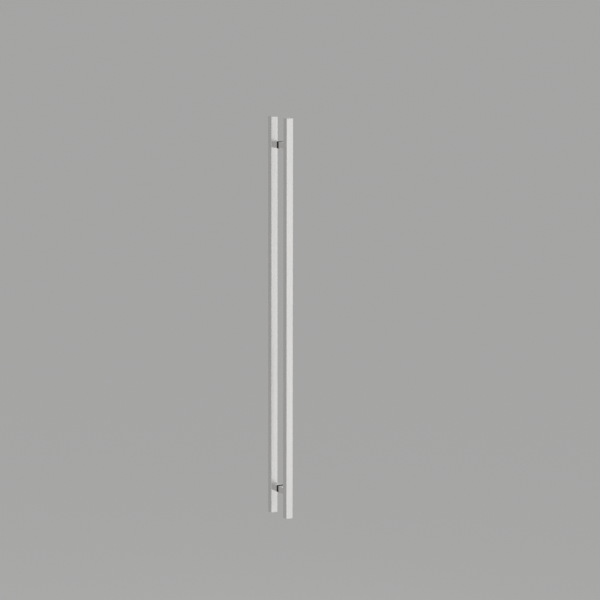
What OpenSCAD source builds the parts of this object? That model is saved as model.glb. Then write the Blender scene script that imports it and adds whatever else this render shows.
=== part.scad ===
// Back-to-back pair of long square door pulls, clamped to a panel by two hidden studs.
// Millimetres, +Z up along the bars, +Y from the near handle to the far one. The origin is
// midway between the two studs, in the middle of the panel. The near handle is the far one
// turned half a turn about Z.

/* [Bars] */
// Length of each bar over its end plugs
bar_length = 1400; // [600:10:2000]
// Side of the square bar
bar_side = 25; // [24:0.5:40]
// Wall of the square tube
bar_wall = 1.5; // [1.2:0.1:2.5]
// Radius of the tube's long outer edges
bar_edge_r = 1.2; // [0.4:0.1:1.5]
// From each end of the bar to the centre of its post
post_inset = 95; // [40:5:250]

/* [End plugs] */
// Thickness of the plate that closes the tube
plug_plate_t = 2; // [1.5:0.5:5]
// How deep the plug's hollow spigot reaches into the tube
plug_spigot_h = 12; // [6:1:20]
// Wall of the spigot
plug_spigot_wall = 2; // [1.5:0.5:3]
// Gap between the spigot and the tube, which the crush ribs fill
plug_gap = 0.25; // [0.15:0.05:0.4]
// Width of a crush rib
plug_rib_w = 0.8; // [0.5:0.1:1.2]
// Distance between the two crush ribs on one side of the spigot
plug_rib_pitch = 12; // [8:1:14]
// Bevel round the outer face of the plug
plug_bevel = 0.5; // [0.3:0.1:0.8]
// Bevel that leads the spigot into the tube
spigot_lead = 0.6; // [0.3:0.1:1]

/* [Posts] */
// Side of the square post
post_side = 22; // [22:0.5:24]
// Radius of the post's long edges
post_edge_r = 0.6; // [0.3:0.1:1]
// Clear hand room between the panel and the bar
hand_room = 40; // [38:1:70]
// Thickness of the web that the post screw clamps
post_web_t = 8; // [6:0.5:10]

/* [Clamping] */
// Thickness of the panel that the pair clamps
panel_t = 8; // [6:1:12]
// Thickness of the rubber gasket
gasket_t = 1; // [0.5:0.25:3]
// How far the gasket shows past the post on each side
gasket_lip = 1; // [0.5:0.25:2]
// Radius of the gasket's corners
gasket_edge_r = 0.8; // [0.3:0.1:1.5]
// Outside diameter of the sleeve that lines the hole in the panel
sleeve_d = 12; // [10:0.5:13]
// Gap between the sleeve and the gasket's hole, and between the sleeve and the stud
sleeve_gap = 0.2; // [0.1:0.05:0.4]

/* [Hubs and studs] */
// Diameter of the stud's thread
stud_d = 8; // [6:1:8]
// How far the stud's end lies inside the hub's outer end
stud_recess = 1; // [0.5:0.5:3]
// Bevel on the stud's ends
stud_bevel = 0.8; // [0.4:0.1:1.2]
// Across the flats of the stud's hexagon socket
stud_key = 4; // [2.5:0.5:4]
// Depth of the stud's hexagon socket
stud_key_depth = 4; // [2:0.5:6]
// Diameter of the hub's body
hub_d = 14; // [13.5:0.5:14.5]
// Length of the hub with its flange
hub_length = 16; // [15:1:18]
// Diameter of the hub's flange
hub_flange_d = 18; // [17:0.5:18.5]
// Thickness of the hub's flange
hub_flange_t = 2; // [1.5:0.5:3]
// Bevel on the hub's outer end
hub_bevel = 0.6; // [0.3:0.1:1]
// Width of the driving slot across the hub's outer end
hub_slot_w = 2; // [1.5:0.5:3]
// Depth of the driving slot
hub_slot_depth = 2; // [1:0.5:3]
// From the gasket to the middle of the hub's V-groove
groove_place = 8; // [7:0.5:9]
// Depth of the V-groove, whose sides slope at 45 degrees
groove_depth = 1.5; // [1:0.1:1.6]
// Gap between the hub and the post's bore
hub_gap = 0.1; // [0.05:0.05:0.2]

/* [Screws] */
// Diameter of the post screw's thread
screw_d = 6; // [5:0.5:6]
// Length of the post screw under its head
screw_length = 20; // [16:1:22]
// Diameter of the post screw's head
screw_head_d = 10; // [9:0.5:11]
// Height of the post screw's head
screw_head_h = 6; // [5:0.5:6]
// Across the flats of the post screw's hexagon socket
screw_key = 5; // [4:0.5:5]
// Depth of the post screw's hexagon socket
screw_key_depth = 3; // [2:0.5:4]
// Room round the post screw in the web
screw_room = 0.3; // [0.15:0.05:0.5]
// Outside diameter of the spring washer
washer_d = 11.8; // [11:0.1:12.5]
// Thickness of the spring washer
washer_t = 1.6; // [1:0.1:2]
// Width of the cut through the spring washer
washer_split = 0.8; // [0.5:0.1:1.2]
// Diameter of the grub screw's thread
grub_d = 5; // [4:0.5:5]
// How far the grub screw's outer end lies inside the post's underside
grub_recess = 0.4; // [0.2:0.1:0.8]
// Depth of the countersink at the grub screw's tapped hole
grub_countersink = 0.4; // [0.2:0.1:0.8]
// How far the grub screw's point stays off the bottom of the V-groove
grub_point_gap = 0.15; // [0.1:0.05:0.3]
// Across the flats of the grub screw's hexagon socket
grub_key = 2.5; // [1.5:0.5:2.5]
// Depth of the grub screw's hexagon socket
grub_key_depth = 1.8; // [1:0.1:2]

/* [Rivet nuts and pins] */
// Diameter of the rivet nut's body, and of the hole that it fills in the tube
nut_d = 9; // [8.5:0.1:10]
// Length of the rivet nut behind its flange
nut_length = 13; // [12:0.5:15]
// Diameter of the rivet nut's flange
nut_flange_d = 11; // [10.5:0.1:12]
// Thickness of the rivet nut's flange
nut_flange_t = 0.8; // [0.5:0.1:1]
// Diameter of the bulge that grips the tube from inside
nut_bulge_d = 11.5; // [10.5:0.1:12]
// Length of the bulge
nut_bulge_t = 3; // [2:0.5:4]
// Room round the flange in the end of the post
nut_room = 0.2; // [0.1:0.05:0.4]
// Diameter of the spring pin that keeps the post square to the bar
pin_d = 3; // [2:0.5:3]
// Wall of the rolled spring pin
pin_wall = 0.5; // [0.4:0.1:0.6]
// Width of the slit along the spring pin
pin_slit = 0.5; // [0.3:0.1:0.8]
// How deep the spring pin goes into the post
pin_depth = 4.5; // [3:0.5:5]
// How far the spring pin reaches past the tube's wall
pin_reach = 0.6; // [0.2:0.1:1]
// Metal left in the post between the spring pin and the seat of the rivet nut's flange
pin_clear = 0.8; // [0.5:0.1:1]
// Room beyond the spring pin's end in the post
pin_end_room = 0.3; // [0.1:0.1:0.5]

/* [Threads] */
// Gap between an outside and an inside thread, which are both drawn smooth
thread_gap = 0.05; // [0.02:0.01:0.1]

/* [Hidden] */
$fn = 64;

// The two handles
near = "near";
far = "far";

// Heights of the two fixings
upper = bar_length / 2 - post_inset;
lower = -upper;

// Distances out from the middle of the panel
gasket_at = panel_t / 2;
post_at = gasket_at + gasket_t;
bar_at = gasket_at + hand_room;
bar_middle = bar_at + bar_side / 2;
web_at = bar_at - post_web_t;
screw_seat_at = web_at - washer_t;
groove_at = post_at + groove_place;

tube_length = bar_length - 2 * plug_plate_t;
tube_bore = bar_side - 2 * bar_wall;
spigot_side = tube_bore - 2 * plug_gap;
rib_length = plug_spigot_h - spigot_lead;
gasket_side = post_side + 2 * gasket_lip;
gasket_bore_d = sleeve_d + 2 * sleeve_gap;
sleeve_bore_d = stud_d + 2 * sleeve_gap;
stud_length = 2 * (post_at + hub_length - stud_recess);
grub_tip_r = hub_d / 2 - groove_depth + grub_point_gap;
grub_cone_h = grub_d / 2;
grub_end_r = post_side / 2 - grub_recess;
pin_length = pin_depth + bar_wall + pin_reach;
pin_offset = nut_flange_d / 2 + nut_room + pin_clear + pin_d / 2;

steel = [0.80, 0.80, 0.81];
dark_steel = [0.55, 0.56, 0.58];
zinc = [0.70, 0.72, 0.74];
rubber = [0.06, 0.06, 0.065];
nylon = [0.90, 0.90, 0.88];

// A small overshoot, so that a cut runs clear of the face it starts from
past = 0.5;

// Outlines

module soft_square(side, r) {
    square([side, side - 2 * r], center = true);
    square([side - 2 * r, side], center = true);
    for (x = [-1, 1], y = [-1, 1])
        translate([x * (side / 2 - r), y * (side / 2 - r)])
            circle(r = r);
}

module hexagon(across) {
    circle(d = across / cos(30), $fn = 6);
}

// Places

// The far handle's own place, or half a turn about Z to the near one
module on_side(side) {
    rotate([0, 0, side == near ? 180 : 0])
        children();
}

// Along the axis of one fixing: local +Z runs out from the middle of the panel to the bar,
// and local +Y runs down
module at_fixing(side, height) {
    on_side(side)
        translate([0, 0, height])
            rotate([-90, 0, 0])
                children();
}

module at_all_fixings() {
    for (side = [near, far], height = [upper, lower])
        at_fixing(side, height)
            children();
}

// Turns a piece drawn along local +Z so that it points down out of the fixing's axis
module pointing_down() {
    rotate([-90, 0, 0])
        children();
}

// Bars and plugs

module bar_tube() {
    color(steel)
    difference() {
        translate([0, bar_middle, -tube_length / 2])
            linear_extrude(height = tube_length)
                difference() {
                    soft_square(bar_side, bar_edge_r);
                    square(tube_bore, center = true);
                }
        for (height = [upper, lower])
            at_fixing(far, height) {
                translate([0, 0, bar_at - past])
                    cylinder(d = nut_d, h = bar_wall + 2 * past);
                translate([0, -pin_offset, bar_at - past])
                    cylinder(d = pin_d, h = bar_wall + 2 * past);
            }
    }
}

// A square bar laid along Y on an edge, which bevels that edge
module edge_cut(bevel, length) {
    side = bevel * sqrt(2);
    rotate([0, 45, 0])
        cube([side, length, side], center = true);
}

// Drawn with the outer face upwards and the tube's end at z = 0
module plug_shape() {
    difference() {
        linear_extrude(height = plug_plate_t)
            soft_square(bar_side, bar_edge_r);
        for (turn = [0 : 90 : 270])
            rotate([0, 0, turn])
                translate([bar_side / 2, 0, plug_plate_t])
                    edge_cut(plug_bevel, bar_side + 2 * past);
    }
    difference() {
        translate([0, 0, -plug_spigot_h])
            linear_extrude(height = plug_spigot_h)
                difference() {
                    square(spigot_side, center = true);
                    square(spigot_side - 2 * plug_spigot_wall, center = true);
                }
        for (turn = [0 : 90 : 270])
            rotate([0, 0, turn])
                translate([spigot_side / 2, 0, -plug_spigot_h])
                    edge_cut(spigot_lead, spigot_side + 2 * past);
    }
    for (turn = [0 : 90 : 270], place = [-1, 1])
        rotate([0, 0, turn])
            translate([spigot_side / 2, place * plug_rib_pitch / 2 - plug_rib_w / 2, -rib_length])
                cube([plug_gap, plug_rib_w, rib_length]);
}

module end_plug(side, up) {
    color(steel)
    on_side(side)
        translate([0, bar_middle, up * tube_length / 2])
            rotate([up > 0 ? 0 : 180, 0, 0])
                plug_shape();
}

// Posts

module post(side, height) {
    color(steel)
    at_fixing(side, height)
        difference() {
            translate([0, 0, post_at])
                linear_extrude(height = bar_at - post_at)
                    soft_square(post_side, post_edge_r);
            // Seat of the hub's flange, and the bore that slides over the hub
            translate([0, 0, post_at - past])
                cylinder(d = hub_flange_d + 2 * hub_gap, h = past + hub_flange_t + hub_gap);
            translate([0, 0, post_at - past])
                cylinder(d = hub_d + 2 * hub_gap, h = past + web_at - post_at);
            // Hole in the web for the post screw, and the seat of the rivet nut's flange
            translate([0, 0, web_at - past])
                cylinder(d = screw_d + 2 * screw_room, h = post_web_t + 2 * past);
            translate([0, 0, bar_at - nut_flange_t - nut_room])
                cylinder(d = nut_flange_d + 2 * nut_room, h = nut_flange_t + nut_room + past);
            translate([0, -pin_offset, bar_at - pin_depth - pin_end_room])
                cylinder(d = pin_d, h = pin_depth + pin_end_room + past);
            // Tapped hole for the grub screw, countersunk in the underside
            translate([0, 0, groove_at])
                pointing_down() {
                    cylinder(d = grub_d + 2 * thread_gap, h = post_side / 2 + past);
                    translate([0, 0, post_side / 2 - grub_countersink])
                        cylinder(d1 = grub_d, d2 = grub_d + 4 * grub_countersink, h = 2 * grub_countersink);
                }
        }
}

// Pieces that clamp the panel

module gasket(side, height) {
    color(rubber)
    at_fixing(side, height)
        translate([0, 0, gasket_at])
            linear_extrude(height = gasket_t)
                difference() {
                    soft_square(gasket_side, gasket_edge_r);
                    circle(d = gasket_bore_d);
                }
}

module hub(side, height) {
    body_r = hub_d / 2;
    bore_r = stud_d / 2 + thread_gap;
    color(dark_steel)
    at_fixing(side, height)
        translate([0, 0, post_at])
            difference() {
                rotate_extrude()
                    polygon([[bore_r, 0],
                             [hub_flange_d / 2, 0],
                             [hub_flange_d / 2, hub_flange_t],
                             [body_r, hub_flange_t],
                             [body_r, groove_place - groove_depth],
                             [body_r - groove_depth, groove_place],
                             [body_r, groove_place + groove_depth],
                             [body_r, hub_length - hub_bevel],
                             [body_r - hub_bevel, hub_length],
                             [bore_r, hub_length]]);
                translate([-hub_d, -hub_slot_w / 2, hub_length - hub_slot_depth])
                    cube([2 * hub_d, hub_slot_w, hub_slot_depth + past]);
            }
}

module stud(height) {
    stud_r = stud_d / 2;
    color(zinc)
    at_fixing(far, height)
        translate([0, 0, -stud_length / 2])
            difference() {
                rotate_extrude()
                    polygon([[0, 0],
                             [stud_r - stud_bevel, 0],
                             [stud_r, stud_bevel],
                             [stud_r, stud_length - stud_bevel],
                             [stud_r - stud_bevel, stud_length],
                             [0, stud_length]]);
                translate([0, 0, -past])
                    linear_extrude(height = stud_key_depth + past)
                        hexagon(stud_key);
            }
}

module sleeve(height) {
    color(nylon)
    at_fixing(far, height)
        translate([0, 0, -panel_t / 2])
            linear_extrude(height = panel_t)
                difference() {
                    circle(d = sleeve_d);
                    circle(d = sleeve_bore_d);
                }
}

// Fasteners between post and bar, and the grub screws that lock the posts to the hubs

module post_screw() {
    color(zinc)
    difference() {
        union() {
            translate([0, 0, screw_seat_at - screw_head_h])
                cylinder(d = screw_head_d, h = screw_head_h);
            translate([0, 0, screw_seat_at - past])
                cylinder(d = screw_d, h = screw_length + past);
        }
        translate([0, 0, screw_seat_at - screw_head_h - past])
            linear_extrude(height = screw_key_depth + past)
                hexagon(screw_key);
    }
}

module spring_washer() {
    color(dark_steel)
    translate([0, 0, screw_seat_at])
        linear_extrude(height = washer_t)
            difference() {
                circle(d = washer_d);
                circle(d = screw_d + 2 * thread_gap);
                translate([-washer_split / 2, -washer_d])
                    square([washer_split, washer_d]);
            }
}

module rivet_nut() {
    color(zinc)
    translate([0, 0, bar_at])
        difference() {
            union() {
                translate([0, 0, -nut_flange_t])
                    cylinder(d = nut_flange_d, h = nut_flange_t);
                translate([0, 0, -nut_flange_t])
                    cylinder(d = nut_d, h = nut_flange_t + nut_length);
                translate([0, 0, bar_wall])
                    cylinder(d = nut_bulge_d, h = nut_bulge_t);
            }
            translate([0, 0, -nut_flange_t - past])
                cylinder(d = screw_d + 2 * thread_gap, h = nut_flange_t + nut_length + 2 * past);
        }
}

module locating_pin() {
    color(dark_steel)
    translate([0, -pin_offset, bar_at - pin_depth])
        linear_extrude(height = pin_length)
            difference() {
                circle(d = pin_d);
                circle(d = pin_d - 2 * pin_wall);
                translate([-pin_slit / 2, -pin_d])
                    square([pin_slit, pin_d]);
            }
}

module grub_screw() {
    color(dark_steel)
    translate([0, 0, groove_at])
        pointing_down()
            difference() {
                union() {
                    translate([0, 0, grub_tip_r])
                        cylinder(r1 = 0, r2 = grub_d / 2, h = grub_cone_h);
                    translate([0, 0, grub_tip_r + grub_cone_h])
                        cylinder(d = grub_d, h = grub_end_r - grub_tip_r - grub_cone_h);
                }
                translate([0, 0, grub_end_r - grub_key_depth])
                    linear_extrude(height = grub_key_depth + past)
                        hexagon(grub_key);
            }
}

on_side(near) bar_tube();  // near_bar
on_side(far) bar_tube();  // far_bar
end_plug(near, 1);  // near_top_plug
end_plug(near, -1);  // near_bottom_plug
end_plug(far, 1);  // far_top_plug
end_plug(far, -1);  // far_bottom_plug
post(near, upper);  // near_upper_post
post(near, lower);  // near_lower_post
post(far, upper);  // far_upper_post
post(far, lower);  // far_lower_post
gasket(near, upper);  // near_upper_gasket
gasket(near, lower);  // near_lower_gasket
gasket(far, upper);  // far_upper_gasket
gasket(far, lower);  // far_lower_gasket
hub(near, upper);  // near_upper_hub
hub(near, lower);  // near_lower_hub
hub(far, upper);  // far_upper_hub
hub(far, lower);  // far_lower_hub
stud(upper);  // upper_stud
stud(lower);  // lower_stud
sleeve(upper);  // upper_sleeve
sleeve(lower);  // lower_sleeve
at_all_fixings() post_screw();  // post_screws
at_all_fixings() spring_washer();  // spring_washers
at_all_fixings() rivet_nut();  // rivet_nuts
at_all_fixings() locating_pin();  // locating_pins
at_all_fixings() grub_screw();  // grub_screws
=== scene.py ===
import math

import bpy
import numpy as np
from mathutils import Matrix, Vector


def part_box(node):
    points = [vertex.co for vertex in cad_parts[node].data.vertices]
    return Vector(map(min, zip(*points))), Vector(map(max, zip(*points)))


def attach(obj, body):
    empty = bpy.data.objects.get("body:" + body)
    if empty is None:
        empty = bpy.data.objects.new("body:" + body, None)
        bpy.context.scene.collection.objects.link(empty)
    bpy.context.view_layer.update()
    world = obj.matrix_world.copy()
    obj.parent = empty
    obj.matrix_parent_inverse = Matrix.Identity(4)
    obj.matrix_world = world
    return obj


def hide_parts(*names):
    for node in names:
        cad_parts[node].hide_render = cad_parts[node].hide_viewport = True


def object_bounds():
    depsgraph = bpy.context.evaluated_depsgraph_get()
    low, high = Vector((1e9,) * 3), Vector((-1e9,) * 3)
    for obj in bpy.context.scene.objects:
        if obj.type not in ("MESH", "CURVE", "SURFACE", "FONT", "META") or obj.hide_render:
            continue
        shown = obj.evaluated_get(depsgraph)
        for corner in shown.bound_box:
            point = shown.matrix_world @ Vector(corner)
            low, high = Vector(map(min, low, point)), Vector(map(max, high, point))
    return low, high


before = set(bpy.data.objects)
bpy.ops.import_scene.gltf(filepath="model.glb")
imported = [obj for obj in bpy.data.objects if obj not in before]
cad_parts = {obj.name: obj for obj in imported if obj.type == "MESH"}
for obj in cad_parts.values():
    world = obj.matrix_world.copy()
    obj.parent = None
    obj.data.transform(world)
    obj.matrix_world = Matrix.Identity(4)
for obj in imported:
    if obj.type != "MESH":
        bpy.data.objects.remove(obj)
cad_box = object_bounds()


# Bars. Each is a square tube of stainless steel, belt ground along its length to a satin
# finish, with its four long edges broken by the same belt.

mm = 0.001
STEEL = (0.66, 0.655, 0.645, 1)
STEEL_IN_GRAIN = (0.56, 0.555, 0.545, 1)
# The bright edge colour below is a painted highlight: the broken edges are painted brighter than the
# ground faces so that they shine.
STEEL_EDGE_HIGHLIGHT = (0.90, 0.895, 0.885, 1)
GRAIN_ACROSS = 7000
GRAIN_ALONG = 18
GRAIN_DEPTH = 0.0012 * mm
EDGE_WIDTH = 1.0 * mm
JOINT_WIDTH = 0.12 * mm
JOINT_SHADE = (0.10, 0.098, 0.095, 1)
DRAWN_OUT = 0.6


class Nodes:
    """A node tree with short words for adding a node, setting its inputs and joining it."""

    def __init__(self, tree):
        self.tree = tree

    def add(self, kind, inputs=None, **settings):
        node = self.tree.nodes.new(kind)
        for name, value in settings.items():
            setattr(node, name, value)
        for name, value in (inputs or {}).items():
            if isinstance(value, bpy.types.NodeSocket):
                self.tree.links.new(value, node.inputs[name])
            else:
                node.inputs[name].default_value = value
        return node

    def sum_of(self, operation, first, second=0.0, third=0.0):
        """One step of arithmetic on numbers or sockets."""
        return self.add("ShaderNodeMath", {0: first, 1: second, 2: third}, operation=operation).outputs[0]

    def ramp(self, value, start, end, low=0.0, high=1.0):
        """low below start, high above end, and smooth between."""
        node = self.add("ShaderNodeMapRange", {"Value": value, "From Min": start, "From Max": end,
                                               "To Min": low, "To Max": high},
                        interpolation_type="SMOOTHSTEP")
        return node.outputs["Result"]

    def blend(self, share, first, second):
        """The first colour where share is 0 and the second where it is 1."""
        node = self.add("ShaderNodeMix", {"Factor": share, "A": first, "B": second}, data_type="RGBA")
        return node.outputs["Result"]

    def noise(self, place, scale, detail=2.0, roughness=0.5):
        """Noise from 0 to 1 at that scale."""
        return self.add("ShaderNodeTexNoise", {"Vector": place, "Scale": scale, "Detail": detail,
                                               "Roughness": roughness}).outputs["Fac"]


def effect(name, inputs, outputs):
    """A shader node group with these named inputs and outputs, and the inputs' sockets."""
    tree = bpy.data.node_groups.new(name, "ShaderNodeTree")
    for label, kind in inputs.items():
        tree.interface.new_socket(label, in_out="INPUT", socket_type="NodeSocket" + kind)
    for label, kind in outputs.items():
        tree.interface.new_socket(label, in_out="OUTPUT", socket_type="NodeSocket" + kind)
    nodes = Nodes(tree)
    return nodes, nodes.add("NodeGroupInput").outputs, nodes.add("NodeGroupOutput")


def surface(name, color, metallic, roughness):
    """A material with only a Principled surface, and its nodes."""
    material = bpy.data.materials.new(name)
    material.use_nodes = True
    nodes = Nodes(material.node_tree)
    shader = material.node_tree.nodes["Principled BSDF"]
    shader.inputs["Base Color"].default_value = color
    shader.inputs["Metallic"].default_value = metallic
    shader.inputs["Roughness"].default_value = roughness
    return material, nodes, shader


def wear(material, *names):
    """Gives CAD nodes that material."""
    for name in names:
        for place in range(len(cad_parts[name].material_slots)):
            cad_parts[name].material_slots[place].material = material


# Belt grinding: fine lines and broader soft streaks, both drawn out along the grain, with the
# cloudiness that the belt leaves over a hand's width.
# The group also paints a highlight: on the broken edges the colour turns to the bright edge colour, a
# painted highlight, and the roughness is a little lower where the belt polished them.
nodes, given, out = effect("grinding_and_edge_highlight", {"Lines": "Vector", "Place": "Vector", "Edge": "Float"},
                           {"Color": "Color", "Roughness": "Float", "Height": "Float"})
fine = nodes.noise(given["Lines"], 1.0, 3.0, 0.65)
streak = nodes.noise(given["Lines"], 0.11, 2.0, 0.5)
cloud = nodes.noise(given["Place"], 9.0, 2.0, 0.5)
both = nodes.sum_of("MULTIPLY_ADD", fine, 0.6, nodes.sum_of("MULTIPLY", streak, 0.4))
ground = nodes.blend(nodes.ramp(both, 0.35, 0.62), STEEL_IN_GRAIN, STEEL)
# Painted highlight: the colour turns to the bright edge colour on the broken edges.
nodes.tree.links.new(nodes.blend(given["Edge"], ground, STEEL_EDGE_HIGHLIGHT), out.inputs["Color"])
dull = nodes.sum_of("MULTIPLY_ADD", both, -0.16, 0.40)
dull = nodes.sum_of("MULTIPLY_ADD", cloud, 0.05, dull)
nodes.tree.links.new(nodes.sum_of("MULTIPLY_ADD", given["Edge"], -0.10, dull), out.inputs["Roughness"])
nodes.tree.links.new(both, out.inputs["Height"])

# Broken edge: 1 on the corners of a square section whose half side is given, 0 on its sides.
nodes, given, out = effect("broken_edge", {"First": "Float", "Second": "Float", "Half side": "Float"},
                           {"Edge": "Float"})
inner = nodes.sum_of("MINIMUM", nodes.sum_of("ABSOLUTE", given["First"]),
                     nodes.sum_of("ABSOLUTE", given["Second"]))
depth = nodes.sum_of("SUBTRACT", given["Half side"], inner)
nodes.tree.links.new(nodes.ramp(depth, 0.0, EDGE_WIDTH, 1.0, 0.0), out.inputs["Edge"])

# Joint line: 1 in the hairline between two pieces that meet at a height above or below the middle.
nodes, given, out = effect("joint_line", {"Height": "Float", "Joint": "Float"}, {"Line": "Float"})
off = nodes.sum_of("SUBTRACT", nodes.sum_of("ABSOLUTE", given["Height"]), given["Joint"])
nodes.tree.links.new(nodes.ramp(nodes.sum_of("ABSOLUTE", off), 0.0, JOINT_WIDTH, 1.0, 0.0),
                     out.inputs["Line"])

bar_low, bar_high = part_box("far_bar")
BAR_HALF = (bar_high.x - bar_low.x) / 2
BAR_MIDDLE = (bar_high.y + bar_low.y) / 2
TUBE_END = bar_high.z


def ground_steel(name, grain, first, second, centre, half_side):
    """Ground steel with its lines along one axis. first and second are the axes of its square
    section, whose middle lies at centre along second on both sides of the origin."""
    material, nodes, shader = surface(name, STEEL, 1.0, 0.33)
    place = nodes.add("ShaderNodeTexCoord").outputs["Object"]
    scale = [GRAIN_ACROSS] * 3
    scale["XYZ".index(grain)] = GRAIN_ALONG
    lines = nodes.add("ShaderNodeMapping", {"Vector": place, "Scale": scale}).outputs["Vector"]
    axes = nodes.add("ShaderNodeSeparateXYZ", {"Vector": place}).outputs
    off_middle = nodes.sum_of("SUBTRACT", nodes.sum_of("ABSOLUTE", axes[second]), centre)
    edge = nodes.add("ShaderNodeGroup", node_tree=bpy.data.node_groups["broken_edge"])
    nodes.tree.links.new(axes[first], edge.inputs["First"])
    nodes.tree.links.new(off_middle, edge.inputs["Second"])
    edge.inputs["Half side"].default_value = half_side
    grain_and_highlight = nodes.add("ShaderNodeGroup", node_tree=bpy.data.node_groups["grinding_and_edge_highlight"])
    nodes.tree.links.new(lines, grain_and_highlight.inputs["Lines"])
    nodes.tree.links.new(place, grain_and_highlight.inputs["Place"])
    # The edge mask carries the painted highlight and the lower roughness of the broken edges.
    nodes.tree.links.new(edge.outputs["Edge"], grain_and_highlight.inputs["Edge"])
    bump = nodes.add("ShaderNodeBump", {"Height": grain_and_highlight.outputs["Height"], "Distance": GRAIN_DEPTH,
                                        "Strength": 1.0})
    nodes.tree.links.new(grain_and_highlight.outputs["Color"], shader.inputs["Base Color"])
    nodes.tree.links.new(grain_and_highlight.outputs["Roughness"], shader.inputs["Roughness"])
    nodes.tree.links.new(bump.outputs["Normal"], shader.inputs["Normal"])
    across = nodes.add("ShaderNodeTangent", direction_type="RADIAL", axis=grain)
    nodes.tree.links.new(across.outputs["Tangent"], shader.inputs["Tangent"])
    shader.inputs["Anisotropic"].default_value = DRAWN_OUT
    return material, nodes, shader, axes, grain_and_highlight


def scribe_joint(nodes, shader, axes, grain_and_highlight, height):
    """Darkens the hairline at that height above and below the middle."""
    line = nodes.add("ShaderNodeGroup", node_tree=bpy.data.node_groups["joint_line"])
    nodes.tree.links.new(axes["Z"], line.inputs["Height"])
    line.inputs["Joint"].default_value = height
    shade = nodes.blend(line.outputs["Line"], grain_and_highlight.outputs["Color"], JOINT_SHADE)
    nodes.tree.links.new(shade, shader.inputs["Base Color"])


bar_steel, *parts = ground_steel("bar_steel", "Z", "X", "Y", BAR_MIDDLE, BAR_HALF)
scribe_joint(*parts, TUBE_END)
wear(bar_steel, "near_bar", "far_bar")


# End plugs. Each is a pressed steel plate with a hollow spigot, driven into the tube's end and
# ground flush, its outer face ground straight across.

plug_steel, *parts = ground_steel("plug_steel", "X", "X", "Y", BAR_MIDDLE, BAR_HALF)
scribe_joint(*parts, TUBE_END)
wear(plug_steel, "near_top_plug", "near_bottom_plug", "far_top_plug", "far_bottom_plug")


# Posts. Each is a square stainless bar, bored from its gasket's end to slide over its hub, and
# ground along its own axis, so that its lines run from the gasket to the bar.

post_low, post_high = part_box("far_upper_post")
POST_HALF = (post_high.x - post_low.x) / 2
FIXING_HEIGHT = (post_high.z + post_low.z) / 2
post_steel, *parts = ground_steel("post_steel", "Y", "X", "Z", FIXING_HEIGHT, POST_HALF)
wear(post_steel, "near_upper_post", "near_lower_post", "far_upper_post", "far_lower_post")


# Gaskets. Each is a square of black rubber 1 mm thick, cut from moulded sheet, so its faces have
# the mould's fine texture, with patches that are a little greyer and duller.

RUBBER = (0.018, 0.018, 0.019, 1)
RUBBER_WORN = (0.032, 0.032, 0.033, 1)
gasket_rubber, nodes, shader = surface("gasket_rubber", RUBBER, 0.0, 0.6)
place = nodes.add("ShaderNodeTexCoord").outputs["Object"]
grain = nodes.noise(place, 3500, 3.0, 0.6)
patches = nodes.noise(place, 260, 2.0, 0.5)
color = nodes.blend(nodes.ramp(patches, 0.35, 0.7), RUBBER, RUBBER_WORN)
nodes.tree.links.new(color, shader.inputs["Base Color"])
nodes.tree.links.new(nodes.sum_of("MULTIPLY_ADD", patches, 0.16, 0.52), shader.inputs["Roughness"])
bump = nodes.add("ShaderNodeBump", {"Height": grain, "Distance": 0.02 * mm, "Strength": 0.7})
nodes.tree.links.new(bump.outputs["Normal"], shader.inputs["Normal"])
wear(gasket_rubber, "near_upper_gasket", "near_lower_gasket", "far_upper_gasket", "far_lower_gasket")


# Sleeves. Each is a short nylon tube in natural white, cut to length on a lathe, that keeps the
# stud off the hole's wall.

NYLON = (0.80, 0.79, 0.74, 1)
NYLON_CUT = (0.72, 0.71, 0.66, 1)
sleeve_nylon, nodes, shader = surface("sleeve_nylon", NYLON, 0.0, 0.42)
place = nodes.add("ShaderNodeTexCoord").outputs["Object"]
around = nodes.add("ShaderNodeMapping", {"Vector": place, "Scale": (60, 9000, 60)}).outputs["Vector"]
feed = nodes.noise(around, 1.0, 2.0, 0.5)
nodes.tree.links.new(nodes.blend(feed, NYLON_CUT, NYLON), shader.inputs["Base Color"])
nodes.tree.links.new(nodes.sum_of("MULTIPLY_ADD", feed, 0.14, 0.34), shader.inputs["Roughness"])
bump = nodes.add("ShaderNodeBump", {"Height": feed, "Distance": 0.004 * mm, "Strength": 0.8})
nodes.tree.links.new(bump.outputs["Normal"], shader.inputs["Normal"])
shader.inputs["Subsurface Weight"].default_value = 0.15
shader.inputs["Subsurface Radius"].default_value = (1.0, 1.0, 0.9)
shader.inputs["Subsurface Scale"].default_value = 1.0 * mm
wear(sleeve_nylon, "upper_sleeve", "lower_sleeve")


# Hubs. Each is turned from steel bar with a flange, a groove and a driving slot, and keeps the
# tool's fine rings. The spring washers and the rolled pins share its dark bare steel.

BARE_STEEL = (0.46, 0.455, 0.45, 1)
BARE_STEEL_RING = (0.36, 0.355, 0.35, 1)
turned_steel, nodes, shader = surface("turned_steel", BARE_STEEL, 1.0, 0.3)
place = nodes.add("ShaderNodeTexCoord").outputs["Object"]
axes = nodes.add("ShaderNodeSeparateXYZ", {"Vector": place}).outputs
rise = nodes.sum_of("SUBTRACT", nodes.sum_of("ABSOLUTE", axes["Z"]), FIXING_HEIGHT)
radius = nodes.add("ShaderNodeVectorMath", operation="LENGTH",
                   inputs={0: nodes.add("ShaderNodeCombineXYZ", {"X": axes["X"], "Y": rise}).outputs[0]})
feed = nodes.add("ShaderNodeCombineXYZ", {"X": radius.outputs["Value"], "Y": axes["Y"]}).outputs[0]
rings = nodes.noise(feed, 9000, 1.0, 0.5)
patches = nodes.noise(place, 400, 2.0, 0.5)
nodes.tree.links.new(nodes.blend(rings, BARE_STEEL_RING, BARE_STEEL), shader.inputs["Base Color"])
dull = nodes.sum_of("MULTIPLY_ADD", patches, 0.12, nodes.sum_of("MULTIPLY_ADD", rings, 0.10, 0.22))
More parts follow.
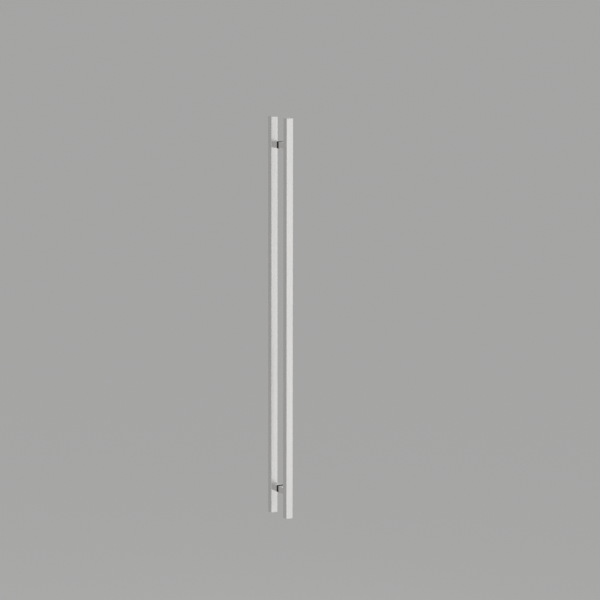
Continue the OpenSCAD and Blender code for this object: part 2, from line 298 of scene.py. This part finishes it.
nodes.tree.links.new(dull, shader.inputs["Roughness"])
bump = nodes.add("ShaderNodeBump", {"Height": rings, "Distance": 0.003 * mm, "Strength": 0.8})
nodes.tree.links.new(bump.outputs["Normal"], shader.inputs["Normal"])
wear(turned_steel, "near_upper_hub", "near_lower_hub", "far_upper_hub", "far_lower_hub",
     "spring_washers", "locating_pins")


# Studs. Each is an M8 threaded rod, zinc plated, with bevelled ends and a hexagon socket in the
# end towards the near handle. Its thread is rolled along its whole length.

ZINC = (0.62, 0.635, 0.65, 1)
ZINC_PATCH = (0.50, 0.515, 0.53, 1)
STUD_PITCH = 1.25 * mm
STUD_BEVEL = 0.8 * mm
STUD_KEY = 4 * mm
STUD_KEY_DEPTH = 4 * mm
THREAD_DEPTH = 0.6134
CREST_FLAT = 1 / 8
ROOT_FLAT = 1 / 4
ROWS_PER_PITCH = 10
AROUND = 72

zinc_plate, nodes, shader = surface("zinc_plate", ZINC, 1.0, 0.36)
place = nodes.add("ShaderNodeTexCoord").outputs["Object"]
crystals = nodes.add("ShaderNodeTexVoronoi", {"Vector": place, "Scale": 1600}).outputs["Distance"]
patches = nodes.noise(place, 500, 3.0, 0.6)
nodes.tree.links.new(nodes.blend(nodes.ramp(patches, 0.35, 0.65), ZINC_PATCH, ZINC),
                     shader.inputs["Base Color"])
nodes.tree.links.new(nodes.sum_of("MULTIPLY_ADD", patches, 0.2, 0.26), shader.inputs["Roughness"])
bump = nodes.add("ShaderNodeBump", {"Height": crystals, "Distance": 0.004 * mm, "Strength": 0.5})
nodes.tree.links.new(bump.outputs["Normal"], shader.inputs["Normal"])

around = np.arange(AROUND) * 2 * math.pi / AROUND


def hexagon(across):
    """Distance from the middle to a hexagon's side at each angle: half the width across its flats
    over the cosine of the angle from the nearest flat's middle."""
    sixth = math.pi / 3
    return across / 2 / np.cos((around + sixth / 2) % sixth - sixth / 2)


def thread(length, radius, pitch, bevel_start, bevel_end):
    """Rings of a threaded rod. The radius is the crest's less a trapezoid wave of the height and the
    angle, flat over an eighth of the pitch at the crest and a quarter at the root, and it is never
    more than the cones that bevel its two ends."""
    height = np.linspace(0, length, int(length / pitch * ROWS_PER_PITCH) + 1)[:, None]
    wave = np.abs(2 * ((height / pitch - around / (2 * math.pi)) % 1) - 1)
    slope = np.clip((wave - CREST_FLAT) / (1 - CREST_FLAT - ROOT_FLAT), 0, 1)
    groove = THREAD_DEPTH * pitch * slope
    cone = np.minimum(radius - bevel_start + height, radius - bevel_end + length - height)
    return np.minimum(radius - groove, cone), np.broadcast_to(height, (len(height), AROUND))


def rings_to_points(radius, height):
    """Points of rings about local +Z: radius by the cosine and sine of the angle, and the height."""
    return np.stack([radius * np.cos(around), radius * np.sin(around), height], axis=-1)


def socket_rings(across, depth):
    """Rings of a hexagon socket that opens at height 0: its wall from the bottom up."""
    wall = np.stack([hexagon(across)] * 2)
    return wall, np.stack([np.full(AROUND, depth), np.zeros(AROUND)])


def closed_rings(name, screws):
    """One mesh of screws, each a pair of an array of rings and a placing matrix. Each ring is joined
    to the next all the way round, and a point in the middle of the first and last closes each."""
    points, quads, fans, base = [], [], [], 0
    for rings, matrix in screws:
        count = len(rings)
        ends = rings[[0, -1]].mean(axis=1)
        local = np.concatenate([rings.reshape(-1, 3), ends])
        points.append(local @ matrix[:3, :3].T + matrix[:3, 3])
        here = base + np.arange(count * AROUND).reshape(count, AROUND)
        beside = np.roll(here, -1, axis=1)
        quads.append(np.stack([here[:-1], beside[:-1], beside[1:], here[1:]], axis=-1).reshape(-1, 4))
        first = np.stack([beside[0], here[0], np.full(AROUND, base + count * AROUND)], axis=-1)
        last = np.stack([here[-1], beside[-1], np.full(AROUND, base + count * AROUND + 1)], axis=-1)
        fans += [first, last]
        base += count * AROUND + 2
    mesh = bpy.data.meshes.new(name)
    faces = np.concatenate(quads).tolist() + np.concatenate(fans).tolist()
    mesh.from_pydata(np.concatenate(points), [], faces)
    mesh.polygons.foreach_set("use_smooth", [True] * len(mesh.polygons))
    mesh.set_sharp_from_angle(angle=math.radians(25))
    mesh.validate()
    piece = bpy.data.objects.new(name, mesh)
    bpy.context.scene.collection.objects.link(piece)
    return piece


def along(direction, down, start):
    """Matrix that turns local +Z to direction and local +Y to down, and moves the origin to start."""
    matrix = np.eye(4)
    matrix[:3, :3] = np.column_stack([np.cross(down, direction), down, direction])
    matrix[:3, 3] = start
    return matrix


def fit(piece, material, node):
    """Gives a new piece its material and slot, and puts it in that CAD node's place."""
    piece.data.materials.append(material)
    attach(piece, "root")
    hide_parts(node)


DOWN = np.array([0.0, 0.0, -1.0])
OUT_FAR = np.array([0.0, 1.0, 0.0])
for node in ("upper_stud", "lower_stud"):
    low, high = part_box(node)
    stud_radius = (high.x - low.x) / 2
    rod_radius, rod_height = thread(high.y - low.y, stud_radius, STUD_PITCH, STUD_BEVEL, STUD_BEVEL)
    key_radius, key_height = socket_rings(STUD_KEY, STUD_KEY_DEPTH)
    rings = rings_to_points(np.concatenate([key_radius, rod_radius]),
                            np.concatenate([key_height, rod_height]))
    start = (0, low.y, (low.z + high.z) / 2)
    rod = closed_rings(node + "_thread", [(rings, along(OUT_FAR, DOWN, start))])
    fit(rod, zinc_plate, node)


# Post screws. Each is an M6 socket head screw, zinc plated, with a knurled head. It goes in through
# the post's bore and pulls the post up to the bar.

SCREW_PITCH = 1.0 * mm
SCREW_LENGTH = 20 * mm
SCREW_RADIUS = 3 * mm
SCREW_BEVEL = 0.7 * mm
HEAD_RADIUS = 5 * mm
HEAD_HEIGHT = 6 * mm
HEAD_EDGE = 0.4 * mm
SCREW_KEY = 5 * mm
SCREW_KEY_DEPTH = 3 * mm
KNURLS = 36
KNURL_DEPTH = 0.15 * mm


def head_rings(radius, height, key, key_depth, edge):
    """Rings of a socket head: the socket's wall, the end face, a rounded edge, and a side whose
    radius dips by the knurl's depth between its ridges and is plain at both ends."""
    key_radius, key_height = socket_rings(key, key_depth)
    turn = np.linspace(0, math.pi / 2, 5)[:, None]
    edge_radius = radius - edge + edge * np.sin(turn) - KNURL_DEPTH + 0 * around
    edge_height = edge - edge * np.cos(turn) + 0 * around
    dip = KNURL_DEPTH * (0.5 - 0.5 * np.cos(KNURLS * around))
    side_height = np.array([edge * 1.6, height - edge * 1.6])[:, None] + 0 * around
    side_radius = radius - dip + 0 * side_height
    foot_height = np.array([height - edge, height])[:, None] + 0 * around
    foot_radius = radius - KNURL_DEPTH + 0 * foot_height
    return (np.concatenate([key_radius, edge_radius, side_radius, foot_radius]),
            np.concatenate([key_height, edge_height, side_height, foot_height]))


screw_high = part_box("post_screws")[1]
screw_start = screw_high.y - SCREW_LENGTH - HEAD_HEIGHT
head_radius, head_height = head_rings(HEAD_RADIUS, HEAD_HEIGHT, SCREW_KEY, SCREW_KEY_DEPTH, HEAD_EDGE)
rod_radius, rod_height = thread(SCREW_LENGTH, SCREW_RADIUS, SCREW_PITCH, 0, SCREW_BEVEL)
rings = rings_to_points(np.concatenate([head_radius, rod_radius]),
                        np.concatenate([head_height, HEAD_HEIGHT + rod_height]))
screws = [(rings, along(side * OUT_FAR, DOWN, (0, side * screw_start, height)))
          for side in (-1, 1) for height in (FIXING_HEIGHT, -FIXING_HEIGHT)]
fit(closed_rings("threaded_post_screws", screws), zinc_plate, "post_screws")
wear(zinc_plate, "rivet_nuts")


# Grub screws. Each is an M5 cone point set screw in dark steel, turned up into the post's underside
# with a small key until its point sits in the hub's groove.

GRUB_PITCH = 0.8 * mm
GRUB_RADIUS = 2.5 * mm
GRUB_BEVEL = 0.4 * mm
GRUB_KEY = 2.5 * mm
GRUB_KEY_DEPTH = 1.8 * mm
GRUB_POINT = 0.05 * mm
OXIDE = (0.060, 0.060, 0.064, 1)
OXIDE_RUBBED = (0.16, 0.16, 0.165, 1)

grub_steel, nodes, shader = surface("grub_steel", OXIDE, 1.0, 0.42)
place = nodes.add("ShaderNodeTexCoord").outputs["Object"]
patches = nodes.noise(place, 900, 3.0, 0.6)
nodes.tree.links.new(nodes.blend(nodes.ramp(patches, 0.5, 0.75), OXIDE, OXIDE_RUBBED),
                     shader.inputs["Base Color"])
nodes.tree.links.new(nodes.sum_of("MULTIPLY_ADD", patches, 0.2, 0.30), shader.inputs["Roughness"])
bump = nodes.add("ShaderNodeBump", {"Height": patches, "Distance": 0.006 * mm, "Strength": 0.6})
nodes.tree.links.new(bump.outputs["Normal"], shader.inputs["Normal"])

grub_low, grub_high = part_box("grub_screws")
grub_outer = -FIXING_HEIGHT - grub_low.z
grub_length = grub_high.z - FIXING_HEIGHT + grub_outer
grub_out = grub_high.y - GRUB_RADIUS
key_radius, key_height = socket_rings(GRUB_KEY, GRUB_KEY_DEPTH)
rod_radius, rod_height = thread(grub_length, GRUB_RADIUS, GRUB_PITCH, GRUB_BEVEL, GRUB_RADIUS - GRUB_POINT)
rings = rings_to_points(np.concatenate([key_radius, rod_radius]), np.concatenate([key_height, rod_height]))
screws = [(rings, along(-DOWN, side * OUT_FAR, (0, side * grub_out, height - grub_outer)))
          for side in (-1, 1) for height in (FIXING_HEIGHT, -FIXING_HEIGHT)]
fit(closed_rings("threaded_grub_screws", screws), grub_steel, "grub_screws")


# Floor. A wide pale sheet below the pair, seen from above only, so that a low camera looks
# through it at the undersides of the posts.

FLOOR_DROP = 1.1
FLOOR_REACH = 150
PALE = (0.52, 0.52, 0.515, 1)
floor_height = cad_box[0].z - FLOOR_DROP

mesh = bpy.data.meshes.new("floor")
corners = [(x * FLOOR_REACH, y * FLOOR_REACH, floor_height)
           for x, y in ((-1, -1), (1, -1), (1, 1), (-1, 1))]
mesh.from_pydata(corners, [], [(0, 1, 2, 3)])
floor = bpy.data.objects.new("floor", mesh)
bpy.context.scene.collection.objects.link(floor)
floor_paint, nodes, shader = surface("floor_paint", PALE, 0.0, 0.95)
shader.inputs["Specular IOR Level"].default_value = 0.0
below = nodes.add("ShaderNodeNewGeometry").outputs["Backfacing"]
clear = nodes.add("ShaderNodeBsdfTransparent").outputs["BSDF"]
either = nodes.add("ShaderNodeMixShader", {"Fac": below, 1: shader.outputs["BSDF"], 2: clear})
nodes.tree.links.new(either.outputs["Shader"], nodes.tree.nodes["Material Output"].inputs["Surface"])
mesh.materials.append(floor_paint)


# Daylight. An even grey world lights everything, and shows to the camera and in the steel as a
# background of the far floor's own grey.

DAYLIGHT = 0.72
BACKGROUND = (*(DAYLIGHT * share for share in PALE[:3]), 1)

world = bpy.data.worlds.new("studio")
bpy.context.scene.world = world
world.use_nodes = True
nodes = Nodes(world.node_tree)
lit = world.node_tree.nodes["Background"]
lit.inputs["Color"].default_value = (1, 1, 1, 1)
lit.inputs["Strength"].default_value = DAYLIGHT
rays = nodes.add("ShaderNodeLightPath").outputs
seen = nodes.sum_of("MAXIMUM", rays["Is Camera Ray"],
                    nodes.sum_of("MAXIMUM", rays["Is Glossy Ray"], rays["Is Transmission Ray"]))
shown = nodes.add("ShaderNodeBackground", {"Color": BACKGROUND, "Strength": 1.0})
mixed = nodes.add("ShaderNodeMixShader", {"Fac": seen, 1: lit.outputs[0], 2: shown.outputs[0]})
nodes.tree.links.new(mixed.outputs["Shader"], world.node_tree.nodes["World Output"].inputs["Surface"])


# Softboxes. Tall cloth-fronted lamps stand all round the pair, the brightest where the camera sees
# it mirrored in the faces of the bars. None of them shows itself to a camera.

LAMP_FOOT = 0.4
LAMP_HEIGHT = 3.0


def softbox(name, azimuth, distance, width, brightness):
    """A tall lamp that faces the pair from an azimuth in degrees from +X towards +Y. brightness is
    that of its cloth, so its power is brightness times pi times its area."""
    light = bpy.data.lights.new(name, "AREA")
    light.shape = "RECTANGLE"
    light.size, light.size_y = width, LAMP_HEIGHT
    light.energy = brightness * math.pi * width * LAMP_HEIGHT
    lamp = bpy.data.objects.new(name, light)
    angle = math.radians(azimuth)
    lamp.location = (distance * math.cos(angle), distance * math.sin(angle),
                     floor_height + LAMP_FOOT + LAMP_HEIGHT / 2)
    lamp.rotation_euler = (math.pi / 2, 0, angle + math.pi / 2)
    lamp.visible_camera = False
    bpy.context.scene.collection.objects.link(lamp)


softbox("key", -62, 1.5, 1.8, 0.86)
softbox("right_side", 0, 2.4, 1.3, 0.60)
softbox("right_back", 45, 2.4, 1.5, 0.85)
softbox("back", 84, 2.4, 1.0, 0.60)
softbox("left_back", 118, 2.4, 1.4, 0.14)
softbox("left_side", 180, 2.4, 1.5, 0.50)
softbox("left_front", -135, 2.4, 1.5, 0.75)


# Camera. It stands where the photograph was taken from, worked out from the corners of both bars:
# 8 m away to the left and in front, a little above the bars, with a long lens, and turned a tenth
# of a degree about its own axis as the photograph is.

camera = bpy.data.objects.new("camera", bpy.data.cameras.new("camera"))
camera.data.lens = 144.07
camera.data.sensor_width = 36
camera.data.clip_end = 400
camera.location = (-3.8888, -7.3088, 1.2189)
camera.rotation_euler = [math.radians(angle) for angle in (82.063, -0.099, -28.474)]
bpy.context.scene.collection.objects.link(camera)
bpy.context.scene.camera = camera
bpy.context.scene.view_settings.view_transform = "Standard"
